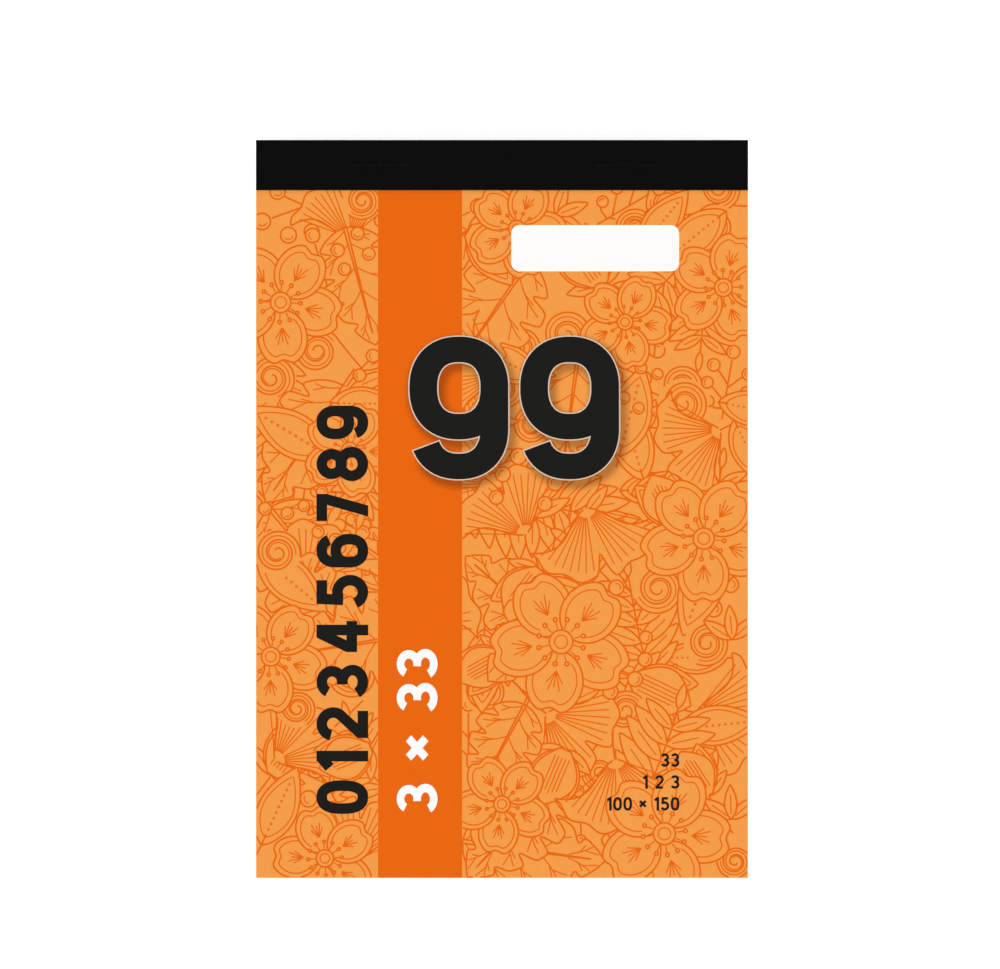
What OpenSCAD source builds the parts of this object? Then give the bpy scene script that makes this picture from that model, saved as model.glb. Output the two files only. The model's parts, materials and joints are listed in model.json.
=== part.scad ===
/* [Book] */
// Width across the trimmed leaves, covers and tape
book_w = 100; // [70:1:210]
// Height from the tape over the head to the tail edge
book_h = 150; // [110:1:300]
// Sets of three leaves that lie under the two sets that turn
buried_sets = 31; // [4:1:48]

/* [Sheets] */
// Thickness of one writing leaf
leaf_t = 0.08; // [0.06:0.01:0.12]
// Thickness of the printed card of the front cover
cover_t = 0.3; // [0.2:0.05:0.45]
// Thickness of the grey board at the back
board_t = 1; // [0.9:0.1:2]
// Thickness of one carbon sheet
carbon_t = 0.04; // [0.03:0.01:0.06]
// Air between the loose sheets of a closed book
sheet_gap = 0.02; // [0.02:0.01:0.04]

/* [Carbon sheets] */
// Paper left uncovered at each side of a carbon sheet
carbon_side_gap = 1; // [0.5:0.5:5]
// Paper left uncovered at the tail, to pull the carbon by
carbon_tail_gap = 2; // [0.5:0.5:10]
// Distance from the perforation down to a carbon sheet
carbon_head_gap = 3; // [1:0.5:10]

/* [Binding tape] */
// Thickness of the tape
tape_t = 0.2; // [0.1:0.05:0.3]
// Width of the tape on the front, from the head down
tape_front = 10.2; // [8:0.1:20]
// Width of the tape turned under the back board
tape_back = 10.2; // [8:0.1:20]

/* [Staples] */
// Diameter of the staple wire
wire_d = 0.5; // [0.4:0.05:0.6]
// Distance between the two legs of a staple
staple_w = 12; // [8:0.5:16]
// Distance between the middles of the two staples
staple_spacing = 50; // [30:1:56]
// Distance from the head of the leaves to the staples
staple_drop = 5; // [3:0.5:6]
// Radius of the wire's bends, at its centre line
wire_bend_r = 0.5; // [0.4:0.05:0.8]
// Straight length of a leg turned in behind the board
clinch_l = 3.5; // [2:0.5:3.5]
// Clearance all round the wire
wire_fit = 0.03; // [0.02:0.01:0.06]

/* [Folds] */
// Distance from the tape's lower edge to the crease of the cover
crease_drop = 0.4; // [0.3:0.1:1]
// Height of the crease's axis over the cover, so it folds back over the tape
crease_lift = 0.14; // [0.12:0.01:0.18]
// Radius of the score pressed along the crease
score_r = 0.2; // [0.19:0.01:0.24]
// Open width of the cover's crease, under the score
crease_gap = 0.12; // [0.08:0.02:0.2]
// Distance from the cover's crease down to the fold of the first leaf
first_fold_drop = 1.2; // [1.2:0.1:2]
// How much lower each leaf folds than the one above it
fold_step = 0.5; // [0.4:0.05:1]
// Room beside a leaf's rounded fold for the leaf to turn in
fold_gap = 0.12; // [0.1:0.01:0.2]

/* [Perforation] */
// Distance from the lowest fold down to the row of slits
perf_drop = 2.5; // [1.5:0.1:6]
// Length of one slit
slit_l = 1.3; // [0.8:0.1:1.6]
// Width of one slit
slit_w = 0.2; // [0.1:0.05:0.4]
// Distance from slit to slit
slit_pitch = 2; // [1.8:0.1:3]

/* [Hidden] */
$fn = 48;
cut = 0.1;

// Places along the height of the book: the head is at +Y
tail_y = -book_h / 2;
head_y = book_h / 2 - tape_t;
tape_edge_y = book_h / 2 - tape_front;
tape_back_y = book_h / 2 - tape_back;
staple_y = head_y - staple_drop;
crease_y = tape_edge_y - crease_drop;

// Folds of the six turning leaves, counted from 0 at the cover down through two sets
turning_leaves = 6;
fold_y = [for (n = [0 : turning_leaves - 1]) crease_y - first_fold_drop - n * fold_step];
perf_y = fold_y[turning_leaves - 1] - perf_drop;
carbon_head_y = perf_y - carbon_head_gap;
carbon_tail_y = tail_y + carbon_tail_gap;

// Heights in the stack, from the board at the bottom to the tape on top
leaf_pitch = leaf_t + sheet_gap;
carbon_pitch = carbon_t + sheet_gap;
buried_z = board_t;
second_set_z = buried_z + 3 * buried_sets * leaf_t + sheet_gap;
triplicate_z = second_set_z + 3 * leaf_pitch;
lower_carbon_z = triplicate_z + leaf_pitch;
duplicate_z = lower_carbon_z + carbon_pitch;
upper_carbon_z = duplicate_z + leaf_pitch;
original_z = upper_carbon_z + carbon_pitch;
cover_z = original_z + leaf_pitch;
cover_top_z = cover_z + cover_t;
crease_z = cover_top_z + crease_lift;
tape_top_z = cover_top_z + tape_t;
leaf_z = [
    original_z, duplicate_z, triplicate_z,
    second_set_z + 2 * leaf_pitch, second_set_z + leaf_pitch, second_set_z,
];

// Wire of the staples: the crown lies in the cover, the legs turn in under the board
wire_r = wire_d / 2;
hole_r = wire_r + wire_fit;
crown_z = cover_z + wire_r;
clinch_z = tape_t + hole_r;

// Slits that fit across the leaf, with whole paper at both edges
slit_count = floor((book_w - slit_pitch) / slit_pitch);

cover_colour = [0.96, 0.62, 0.29];
board_colour = [0.62, 0.60, 0.56];
tape_colour = [0.02, 0.02, 0.02];
wire_colour = [0.72, 0.73, 0.75];
original_colour = [0.97, 0.97, 0.95];
duplicate_colour = [0.97, 0.74, 0.78];
triplicate_colour = [0.98, 0.92, 0.55];
carbon_colour = [0.10, 0.11, 0.22];

// A flat sheet of the book's full width between two places along its height
module sheet(low_y, high_y, z, t)
    translate([-book_w / 2, low_y, z])
        cube([book_w, high_y - low_y, t]);

// A bar across the book, with its round end view about the point (y, z)
module rod_across(y, z, r, l)
    translate([-l / 2, y, z])
        rotate([0, 90, 0])
            cylinder(r = r, h = l);

// Children at the middle of each staple
module at_staples()
    for (side = [-1, 1])
        translate([side * staple_spacing / 2, staple_y, 0])
            children();

// Holes that the four legs pierce through a sheet
module leg_holes(z, t)
    at_staples()
        for (side = [-1, 1])
            translate([side * staple_w / 2, 0, z - cut])
                cylinder(r = hole_r, h = t + 2 * cut);

// A sheet that the staples hold, from a place along its height up to the head
module stapled_sheet(low_y, z, t)
    difference() {
        sheet(low_y, head_y, z, t);
        leg_holes(z, t);
    }

// Row of slits along which a leaf tears off
module perforation(z)
    for (i = [0 : slit_count - 1])
        translate([(i - (slit_count - 1) / 2) * slit_pitch - slit_l / 2, perf_y - slit_w / 2, z - cut])
            cube([slit_l, slit_w, leaf_t + 2 * cut]);

// The part of leaf n that turns, with a rounded edge about its fold
module turning_leaf(n)
    union() {
        sheet(tail_y, fold_y[n], leaf_z[n], leaf_t);
        rod_across(fold_y[n], leaf_z[n] + leaf_t / 2, leaf_t / 2, book_w);
    }

// A turning leaf that also tears off
module tear_off_leaf(n)
    difference() {
        turning_leaf(n);
        perforation(leaf_z[n]);
    }

// The bound end of leaf n, clear of the rounded edge
module leaf_stub(n)
    stapled_sheet(fold_y[n] + leaf_t / 2 + fold_gap, leaf_z[n], leaf_t);

// Leaves of one colour through the block: place 0 is lowest in its set
module buried_leaves(place)
    for (i = [0 : buried_sets - 1])
        stapled_sheet(tail_y, buried_z + (3 * i + place) * leaf_t, leaf_t);

// A carbon sheet, narrower and shorter than the leaves
module carbon_sheet(z)
    translate([-book_w / 2 + carbon_side_gap, carbon_tail_y, z])
        cube([book_w - 2 * carbon_side_gap, carbon_head_y - carbon_tail_y, carbon_t]);

// Score along the crease of the cover
module score()
    rod_across(crease_y, crease_z, score_r, book_w + 2 * cut);

// One quarter bend of the wire, from its leg into a run along X
module wire_bend()
    rotate([90, 0, 0])
        rotate_extrude(angle = 90)
            translate([wire_bend_r, 0])
                circle(r = wire_r);

// Straight wire along X
module wire_along(x, z, l)
    translate([x, 0, z])
        rotate([0, 90, 0])
            cylinder(r = wire_r, h = l);

// One leg: the bend at the crown, the leg and the clinched end behind the board
module staple_leg() {
    leg_x = staple_w / 2;
    bend_x = leg_x - wire_bend_r;
    leg_low_z = clinch_z + wire_bend_r;
    leg_high_z = crown_z - wire_bend_r;
    translate([bend_x, 0, leg_high_z])
        wire_bend();
    translate([leg_x, 0, leg_low_z])
        cylinder(r = wire_r, h = leg_high_z - leg_low_z);
    translate([bend_x, 0, leg_low_z])
        mirror([0, 0, 1])
            wire_bend();
    wire_along(bend_x - clinch_l, clinch_z, clinch_l);
}

// A staple with its middle at X = 0 and Y = 0
module staple()
    union() {
        wire_along(-staple_w / 2 + wire_bend_r, crown_z, staple_w - 2 * wire_bend_r);
        staple_leg();
        mirror([1, 0, 0])
            staple_leg();
    }

// Room for a staple's crown in the cover and the tape
module crown_room() {
    room_l = staple_w + 2 * hole_r;
    translate([-room_l / 2, -hole_r, cover_z - cut])
        cube([room_l, 2 * hole_r, crown_z - cover_z + cut]);
    rod_across(0, crown_z, hole_r, room_l);
}

// Grooves under the board for the clinched ends of a staple
module clinch_grooves() {
    groove_l = wire_fit + clinch_l + wire_bend_r + hole_r;
    groove_x = staple_w / 2 + hole_r - groove_l;
    for (side = [0, 1])
        mirror([side, 0, 0]) {
            translate([groove_x, -hole_r, 0])
                cube([groove_l, 2 * hole_r, clinch_z]);
            translate([groove_x, 0, clinch_z])
                rotate([0, 90, 0])
                    cylinder(r = hole_r, h = groove_l);
        }
}

// End view of the tape: front flap, head and back flap, round over both edges
module tape_profile() {
    translate([tape_edge_y, cover_top_z])
        square([head_y - tape_edge_y, tape_t]);
    translate([head_y, tape_t])
        square([tape_t, cover_top_z - tape_t]);
    translate([tape_back_y, 0])
        square([head_y - tape_back_y, tape_t]);
    for (z = [tape_t, cover_top_z])
        intersection() {
            translate([head_y, z])
                circle(r = tape_t);
            translate([head_y, 0])
                square([tape_t, tape_top_z]);
        }
}

// Ridge of the tape where it is drawn over a crown
module tape_ridge() {
    ridge_r = hole_r + tape_t;
    intersection() {
        union() {
            rod_across(0, crown_z, ridge_r, staple_w);
            for (side = [-1, 1])
                translate([side * staple_w / 2, 0, crown_z])
                    sphere(r = ridge_r);
        }
        translate([-staple_w, -2 * ridge_r, cover_top_z])
            cube([2 * staple_w, 4 * ridge_r, 2 * ridge_r]);
    }
}

module back_board()
    color(board_colour)
        difference() {
            sheet(tail_y, head_y, 0, board_t);
            sheet(tape_back_y, head_y + cut, -cut, tape_t + cut);
            leg_holes(0, board_t);
            at_staples()
                clinch_grooves();
        }

module binding_tape()
    color(tape_colour)
        difference() {
            union() {
                translate([-book_w / 2, 0, 0])
                    rotate([90, 0, 90])
                        linear_extrude(height = book_w)
                            tape_profile();
                at_staples()
                    tape_ridge();
            }
            at_staples()
                crown_room();
        }

module left_staple()
    color(wire_colour)
        translate([-staple_spacing / 2, staple_y, 0])
            staple();

module right_staple()
    color(wire_colour)
        translate([staple_spacing / 2, staple_y, 0])
            staple();

module front_cover()
    color(cover_colour)
        difference() {
            sheet(tail_y, crease_y - crease_gap / 2, cover_z, cover_t);
            score();
        }

module front_cover_stub()
    color(cover_colour)
        difference() {
            sheet(crease_y + crease_gap / 2, head_y, cover_z, cover_t);
            score();
            at_staples()
                crown_room();
        }

module first_original_leaf()
    color(original_colour)
        tear_off_leaf(0);

module first_original_stub()
    color(original_colour)
        leaf_stub(0);

module first_duplicate_leaf()
    color(duplicate_colour)
        tear_off_leaf(1);

module first_duplicate_stub()
    color(duplicate_colour)
        leaf_stub(1);

module first_triplicate_leaf()
    color(triplicate_colour)
        turning_leaf(2);

module first_triplicate_stub()
    color(triplicate_colour)
        leaf_stub(2);

module second_original_leaf()
    color(original_colour)
        tear_off_leaf(3);

module second_original_stub()
    color(original_colour)
        leaf_stub(3);

module second_duplicate_leaf()
    color(duplicate_colour)
        tear_off_leaf(4);

module second_duplicate_stub()
    color(duplicate_colour)
        leaf_stub(4);

module second_triplicate_leaf()
    color(triplicate_colour)
        turning_leaf(5);

module second_triplicate_stub()
    color(triplicate_colour)
        leaf_stub(5);

module upper_carbon()
    color(carbon_colour)
        carbon_sheet(upper_carbon_z);

module lower_carbon()
    color(carbon_colour)
        carbon_sheet(lower_carbon_z);

module buried_originals()
    color(original_colour)
        buried_leaves(2);

module buried_duplicates()
    color(duplicate_colour)
        buried_leaves(1);

module buried_triplicates()
    color(triplicate_colour)
        buried_leaves(0);

back_board();
binding_tape();
left_staple();
right_staple();
front_cover();
front_cover_stub();
first_original_leaf();
first_original_stub();
first_duplicate_leaf();
first_duplicate_stub();
first_triplicate_leaf();
first_triplicate_stub();
second_original_leaf();
second_original_stub();
second_duplicate_leaf();
second_duplicate_stub();
second_triplicate_leaf();
second_triplicate_stub();
upper_carbon();
lower_carbon();
buried_originals();
buried_duplicates();
buried_triplicates();
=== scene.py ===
import json
import math
import random

import bmesh
import bpy
import numpy as np
from mathutils import Matrix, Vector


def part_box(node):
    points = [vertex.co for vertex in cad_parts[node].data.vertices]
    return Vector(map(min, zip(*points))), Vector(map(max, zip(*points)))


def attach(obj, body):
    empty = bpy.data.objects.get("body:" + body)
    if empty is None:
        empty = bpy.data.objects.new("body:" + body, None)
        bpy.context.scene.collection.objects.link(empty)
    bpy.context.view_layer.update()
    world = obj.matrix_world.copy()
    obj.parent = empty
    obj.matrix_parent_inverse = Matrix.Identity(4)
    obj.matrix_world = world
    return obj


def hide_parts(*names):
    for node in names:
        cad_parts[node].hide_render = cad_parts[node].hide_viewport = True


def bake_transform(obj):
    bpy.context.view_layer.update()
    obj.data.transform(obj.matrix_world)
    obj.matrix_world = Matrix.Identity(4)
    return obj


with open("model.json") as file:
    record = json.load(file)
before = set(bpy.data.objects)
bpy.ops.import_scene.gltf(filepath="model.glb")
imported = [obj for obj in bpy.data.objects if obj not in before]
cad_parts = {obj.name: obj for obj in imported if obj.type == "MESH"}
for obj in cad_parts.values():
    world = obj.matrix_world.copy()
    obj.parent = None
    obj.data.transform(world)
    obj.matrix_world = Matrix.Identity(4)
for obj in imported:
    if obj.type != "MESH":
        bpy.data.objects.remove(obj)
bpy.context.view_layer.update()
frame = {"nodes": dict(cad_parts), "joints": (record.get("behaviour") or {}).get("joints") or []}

MM = 0.001
SCENE = bpy.context.scene
JOINTS = {joint["name"]: joint for joint in frame["joints"]}

# Places in the book, in metres, read from the frame
COVER_LOW, COVER_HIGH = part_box("front_cover")
COVER_TOP = COVER_HIGH.z
COVER_T = COVER_HIGH.z - COVER_LOW.z
HEAD_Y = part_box("front_cover_stub")[1].y
TAIL_Y = COVER_LOW.y
CREASE_Y = JOINTS["cover_turn"]["pos_m"][1]

# The same places in millimetres, for the printed design
HALF_W_MM = COVER_HIGH.x / MM
HEAD_MM = HEAD_Y / MM
TAIL_MM = TAIL_Y / MM
TAPE_EDGE_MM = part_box("binding_tape")[0].y / MM

# The two sets of leaves that turn, from the cover down
SET_NAMES = ["first", "second"]
PAPERS = {"original": "white_paper", "duplicate": "pink_paper", "triplicate": "yellow_paper"}


def linear(red, green, blue):
    """A screen colour, 0 to 255, as the linear colour that a shader takes."""
    shares = [channel / 255 for channel in (red, green, blue)]
    return [s / 12.92 if s <= 0.04045 else ((s + 0.055) / 1.055) ** 2.4 for s in shares] + [1]


GROUND_ORANGE = linear(245, 158, 73)
DEEP_ORANGE = linear(236, 102, 1)
PRINT_BLACK = linear(26, 26, 24)
PRINT_WHITE = linear(255, 253, 251)
EDGE_CREAM = linear(226, 206, 188)
MOTTLE_ORANGE = linear(214, 118, 34)
SHADE_BROWN = linear(52, 22, 2)
LINE_BROWN = linear(60, 22, 0)
WORN_PALE = linear(250, 214, 176)
CARD_WHITE = linear(238, 234, 226)
CARD_FIBRE = linear(229, 224, 214)
NUMBER_RED = linear(196, 40, 38)
RULE_BLUE = linear(126, 156, 190)
HEADING_BLUE = linear(92, 124, 168)
MARGIN_RED = linear(214, 96, 104)

PAPER_COLOURS = {
    "white_paper": linear(247, 246, 241),
    "pink_paper": linear(246, 190, 200),
    "yellow_paper": linear(249, 233, 142),
}


# Finishes

MIX_ONE, MIX_TWO, MIX_OUT = 6, 7, 2  # colour sockets of the Mix node


class Finish:
    """A material and short ways to add nodes to it."""

    def __init__(self, name, roughness=0.5, specular=0.5):
        self.material = bpy.data.materials.new(name)
        self.material.use_nodes = True
        self.tree = self.material.node_tree
        self.shader = self.tree.nodes["Principled BSDF"]
        self.shader.inputs["Roughness"].default_value = roughness
        self.shader.inputs["Specular IOR Level"].default_value = specular

    def node(self, kind, inputs=None, **settings):
        made = self.tree.nodes.new("ShaderNode" + kind)
        for name, value in settings.items():
            setattr(made, name, value)
        for key, value in (inputs or {}).items():
            self.feed(made.inputs[key], value)
        return made

    def feed(self, socket, value):
        if isinstance(value, bpy.types.NodeSocket):
            self.tree.links.new(value, socket)
        else:
            socket.default_value = value

    def math(self, operation, *values):
        made = self.node("Math", operation=operation)
        for socket, value in zip(made.inputs, values):
            self.feed(socket, value)
        return made.outputs[0]

    def ramp(self, value, low, high, to_low=0, to_high=1):
        """A smooth step of a value between two limits."""
        inputs = {"Value": value, "From Min": low, "From Max": high, "To Min": to_low, "To Max": to_high}
        return self.node("MapRange", inputs, interpolation_type="SMOOTHSTEP").outputs["Result"]

    def mix(self, share, one, two):
        """One colour that gives way to another by a share."""
        inputs = {"Factor": share, MIX_ONE: one, MIX_TWO: two}
        return self.node("Mix", inputs, data_type="RGBA").outputs[MIX_OUT]

    def noise(self, where, scale, detail=2, roughness=0.5):
        inputs = {"Vector": where, "Scale": scale, "Detail": detail, "Roughness": roughness}
        return self.node("TexNoise", inputs).outputs["Fac"]

    def bump(self, height, depth, strength=1):
        """Relief on the surface, with its depth in metres."""
        inputs = {"Height": height, "Distance": depth, "Strength": strength}
        self.feed(self.shader.inputs["Normal"], self.node("Bump", inputs).outputs["Normal"])

    def colour(self, value):
        self.feed(self.shader.inputs["Base Color"], value)

    def rough(self, value):
        self.feed(self.shader.inputs["Roughness"], value)

    def object_mm(self):
        """Place on a rigid piece, in millimetres."""
        place = self.node("TexCoord").outputs["Object"]
        return self.node("VectorMath", {0: place, "Scale": 1 / MM}, operation="SCALE").outputs[0]

    def sheet_mm(self):
        """Place on a sheet, in millimetres from the book's middle, which follows the sheet as it bends."""
        return self.node("UVMap", uv_map="sheet_mm").outputs["UV"]

    def parts_of(self, vector):
        return self.node("SeparateXYZ", {0: vector}).outputs


def plain_ink(name, colour, roughness=0.5):
    finish = Finish(name, roughness, specular=0.08)
    finish.colour(colour)
    return finish.material


# Sheets


def steps(low, high, step):
    """Places from low to high, about a step apart."""
    return list(np.linspace(low, high, max(2, round(abs(high - low) / step) + 1)))


def lines_between(stops, step_sizes):
    """Places along a run of stretches, each with its own step."""
    found = []
    for low, high, step in zip(stops, stops[1:], step_sizes):
        found += steps(low, high, step)[:-1]
    return found + [stops[-1]]


def link(piece):
    SCENE.collection.objects.link(piece)
    return piece


def piece_from(name, builder):
    """The object of a mesh that has been built."""
    mesh = bpy.data.meshes.new(name)
    builder.to_mesh(mesh)
    builder.free()
    return link(bpy.data.objects.new(name, mesh))


def coat(piece, *materials):
    """Gives a piece these materials and no others."""
    piece.data.materials.clear()
    for material in materials:
        piece.data.materials.append(material)


def places_of(mesh):
    """The places of all vertices, a row for each."""
    places = np.empty(len(mesh.vertices) * 3, np.float32)
    mesh.vertices.foreach_get("co", places)
    return places.reshape(-1, 3)


def cut_across(builder, y, way=1, **options):
    """Cuts a mesh straight across at one place along the book."""
    everything = builder.verts[:] + builder.edges[:] + builder.faces[:]
    return bmesh.ops.bisect_plane(builder, geom=everything, plane_co=(0, y, 0), plane_no=(0, way, 0),
                                  **options)


def put_in_order(builder):
    """Lists a mesh's parts by their places, because extruding lists them differently in each run."""
    def place(vert):
        return tuple(vert.co)

    def corners(part):
        return sorted(vert.index for vert in part.verts)

    for parts, key in ((builder.verts, place), (builder.edges, corners), (builder.faces, corners)):
        ranks = {part: rank for rank, part in enumerate(sorted(parts, key=key))}
        parts.sort(key=ranks.get)
        parts.index_update()


def grid_sheet(name, across, along, z):
    """A flat sheet facing up, with a line of vertices at each place across and along it, in metres."""
    builder = bmesh.new()
    row = [builder.verts.new((x, along[0], z)) for x in across]
    edges = [builder.edges.new(pair) for pair in zip(row, row[1:])]
    for y in along[1:]:
        made = bmesh.ops.extrude_edge_only(builder, edges=edges)["geom"]
        fresh = {item for item in made if isinstance(item, bmesh.types.BMVert)}
        edges = [e for e in made if isinstance(e, bmesh.types.BMEdge) and set(e.verts) <= fresh]
        for vert in fresh:
            vert.co.y = y
    put_in_order(builder)
    bmesh.ops.recalc_face_normals(builder, faces=builder.faces)
    if next(iter(builder.faces)).normal.z < 0:
        bmesh.ops.reverse_faces(builder, faces=builder.faces)
    return piece_from(name, builder)


def map_flat(piece, name, low, span):
    """Gives each corner its place on the flat sheet, so print and grain bend with it."""
    mesh = piece.data
    corners = np.empty(len(mesh.loops), np.int32)
    mesh.loops.foreach_get("vertex_index", corners)
    flat = (places_of(mesh)[corners][:, :2] - low) / span
    mesh.uv_layers.new(name=name).uv.foreach_set("vector", flat.astype(np.float32).ravel())


def map_sheet(piece):
    map_flat(piece, "sheet_mm", 0, MM)


def thicken(piece, thickness, back_slot=0, rim_slot=0):
    solid = piece.modifiers.new("thickness", "SOLIDIFY")
    solid.thickness = thickness
    solid.offset = -1
    solid.material_offset = back_slot
    solid.material_offset_rim = rim_slot


def fold(piece):
    """Bakes a bound sheet's place into its mesh."""
    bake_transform(piece)


# Printed lines

BOLD, FINE = 0.35, 0.25  # widths of the printed lines, mm
INK_LAYER = 0.012  # height of one printed layer over the next, mm
INK_RISE = 0.006  # rise of a printed line over its layer, mm
INK_STAGGER = 0.003  # difference in height of neighbouring lines, mm
INK_LEVELS = 3  # how many such heights take turns
CUT_STEP = 0.12  # spacing of points while lines are hidden, mm
DRAW_STEP = 3  # how many of those points make one drawn segment
LEAST_RUN = 1.0  # what is left of a line between two shapes is dropped below this length, mm
SAME_PLACE = 0.001  # a line whose ends are nearer than this is closed, mm
NO_RISE = 1e-12  # stands in for the rise of a level edge, which no point's level crosses


def resample(line, step):
    """The same line in equal steps."""
    run = np.concatenate([[0], np.cumsum(np.abs(np.diff(line)))])
    at = np.linspace(0, run[-1], max(2, int(run[-1] / step) + 1))
    return np.interp(at, run, line.real) + 1j * np.interp(at, run, line.imag)


def ellipse(centre, rx, ry, start=0, end=360, points=48, square=2):
    """Part of an ellipse, squarer for a higher exponent."""
    turn = np.radians(np.linspace(start, end, points))
    x, y = np.cos(turn), np.sin(turn)
    return (centre + rx * np.sign(x) * np.abs(x) ** (2 / square)
            + 1j * ry * np.sign(y) * np.abs(y) ** (2 / square))


def path(*points):
    return np.array(points, complex)


def towards(degrees):
    """A step of length 1 in a direction."""
    return np.exp(1j * np.radians(degrees))


def is_closed(line):
    return bool(len(line) > 3 and abs(line[0] - line[-1]) < SAME_PLACE)


def extent(points):
    """Left, right, low and high limit of some points."""
    return points.real.min(), points.real.max(), points.imag.min(), points.imag.max()


def in_box(points, left, right, low, high):
    return (points.real > left) & (points.real < right) & (points.imag > low) & (points.imag < high)


def inside(points, outline):
    """Which points lie within a closed outline."""
    a, b = outline, np.roll(outline, 1)
    rise = np.where(a.imag == b.imag, NO_RISE, b.imag - a.imag)
    p = points[:, None]
    crosses = (a.imag > p.imag) != (b.imag > p.imag)
    edge = (b.real - a.real) * (p.imag - a.imag) / rise + a.real
    return (crosses & (p.real < edge)).sum(1) % 2 == 1


class LineArt:
    """Line art drawn from front to back, without what lies behind an earlier shape or off the sheet."""

    def __init__(self, left, right, low, high):
        self.box = left, right, low, high
        self.shapes = []
        self.stalks = []
        self.lines = {BOLD: [], FINE: []}

    def hidden(self, points):
        found = ~in_box(points, *self.box)
        for shape, box in self.shapes:
            near = ~found & in_box(points, *box)
            if near.any():
                found[near] = inside(points[near], shape)
        return found

    def stroke(self, line, width):
        points = resample(line, CUT_STEP)
        seen = ~self.hidden(points)
        ends = np.flatnonzero(np.diff(np.concatenate([[False], seen, [False]]).astype(int)))
        for start, end in zip(ends[::2], ends[1::2]):
            run = points[start:end]
            if len(run) * CUT_STEP > LEAST_RUN:
                self.lines[width].append(np.append(run[:-1:DRAW_STEP], run[-1]))

    def mask(self, shape):
        self.shapes.append((shape, extent(shape)))

    def draw(self, parts, at, turn):
        """Draws a motif's parts, each a shape that hides what is behind it, bold lines and fine lines.

        A part without a shape is a stalk, which waits until every motif has its place.
        """
        def moved(line):
            return at + towards(turn) * line

        for shape, bold, fine in parts:
            if shape is None:
                self.stalks += [moved(line) for line in bold]
                continue
            for line in bold:
                self.stroke(moved(line), BOLD)
            for line in fine:
                self.stroke(moved(line), FINE)
            self.mask(moved(shape))

    def draw_stalks(self):
        """Stalks lie behind all the motifs, so they show only in the gaps."""
        for line in self.stalks:
            self.stroke(line, BOLD)


def ink_mesh(name, lines, width, wide=1):
    """Printed lines as a flat mesh about height 0, in metres, from lines in millimetres.

    Lines may be wider across the sheet than along it. Neighbours differ a little in height, so that
    crossings stay clean.
    """
    curve = bpy.data.curves.new(name, "CURVE")
    curve.dimensions = "3D"
    curve.twist_mode = "Z_UP"
    curve.bevel_depth = width / 2 * MM
    curve.bevel_resolution = 0
    curve.use_fill_caps = True
    for k, line in enumerate(lines):
        spline = curve.splines.new("POLY")
        spline.use_cyclic_u = is_closed(line)
        line = line[:-1] if is_closed(line) else line
        spline.points.add(len(line) - 1)
        height = np.full(len(line), k % INK_LEVELS * INK_STAGGER / INK_RISE * width / 2)
        places = np.stack([line.real / wide, line.imag, height, np.full(len(line), 1 / MM)], 1) * MM
        spline.points.foreach_set("co", places.astype(np.float32).ravel())
    drawn = link(bpy.data.objects.new(name + "_curve", curve))
    mesh = bpy.data.meshes.new_from_object(drawn.evaluated_get(bpy.context.evaluated_depsgraph_get()))
    bpy.data.objects.remove(drawn)
    mesh.name = name
    flat = places_of(mesh)
    flat[:, 0] *= wide
    flat[:, 2] *= 2 * INK_RISE / width
    mesh.vertices.foreach_set("co", flat.ravel())
    mesh.polygons.foreach_set("use_smooth", np.zeros(len(mesh.polygons), bool))
    mesh.update()
    return mesh


# Figures

FIGURE_GAP = 0.36  # room between the centre lines of neighbouring figures, in figure heights
SPACE = path(0, 0.1)  # what a space between figures takes up
BOWL, FOOT = 0.28 + 0.67j, 0.28 + 0.33j
NINE = [ellipse(BOWL, 0.28, 0.33, 180, 540, 60, 2.3),
        np.concatenate([ellipse(BOWL, 0.28, 0.33, 45, 0, 12, 2.3)[:-1],
                        ellipse(FOOT, 0.28, 0.33, 0, -155, 30, 2.3)])]
FIGURES = {  # centre lines one unit high; lines that run past 0 and 1 are cut level there
    " ": [],
    "0": [ellipse(0.28 + 0.5j, 0.28, 0.5, 180, 540, 60, 2.5)],
    "1": [path(0.26 - 0.3j, 0.26 + 1.3j), path(-0.02 + 0.81j, 0.22 + 1.004j)],
    "2": [np.append(ellipse(0.28 + 0.72j, 0.28, 0.28, 168, -36), [0.033 + 0.04j]), path(-0.06, 0.6)],
    "3": [ellipse(0.26 + 0.75j, 0.26, 0.25, 155, -90), ellipse(0.26 + 0.25j, 0.29, 0.25, 90, -155),
          path(0.2 + 0.5j, 0.3 + 0.5j)],
    "4": [path(0.44 - 0.3j, 0.44 + 1.3j), path(0.02 + 0.343j, 0.434 + 1.2j),
          path(-0.095 + 0.27j, 0.66 + 0.27j)],
    "5": [path(0.02 + 1j, 0.54 + 1j), path(0.1 + 1.3j, 0.06 + 0.48j),
          ellipse(0.25 + 0.31j, 0.29, 0.31, 112, -155)],
    "6": [0.56 + 1j - line for line in NINE],
    "7": [path(-0.04 + 1j, 0.62 + 1j), path(0.496 + 0.907j, 0.17 - 0.25j)],
    "8": [ellipse(0.28 + 0.76j, 0.24, 0.24, 180, 540), ellipse(0.28 + 0.27j, 0.29, 0.27, 180, 540)],
    "9": NINE,
    "×": [path(0.02 + 0.24j, 0.54 + 0.76j), path(0.02 + 0.76j, 0.54 + 0.24j)],
}


def number(row, height, weight, wide=1, align="left", gap=FIGURE_GAP):
    """Centre lines of a row of figures on a base line at 0, from their printed size in millimetres."""
    rise = height - weight
    lines, x = [], 0
    for figure in row:
        left, right, _, _ = extent(np.concatenate(FIGURES[figure] or [SPACE]))
        lines += [x - left + line for line in FIGURES[figure]]
        x += right - left + gap
    shift = {"left": 0, "right": x - gap}[align]
    return [rise * wide * (line.real - shift) + 1j * (weight / 2 + rise * line.imag) for line in lines]


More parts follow.
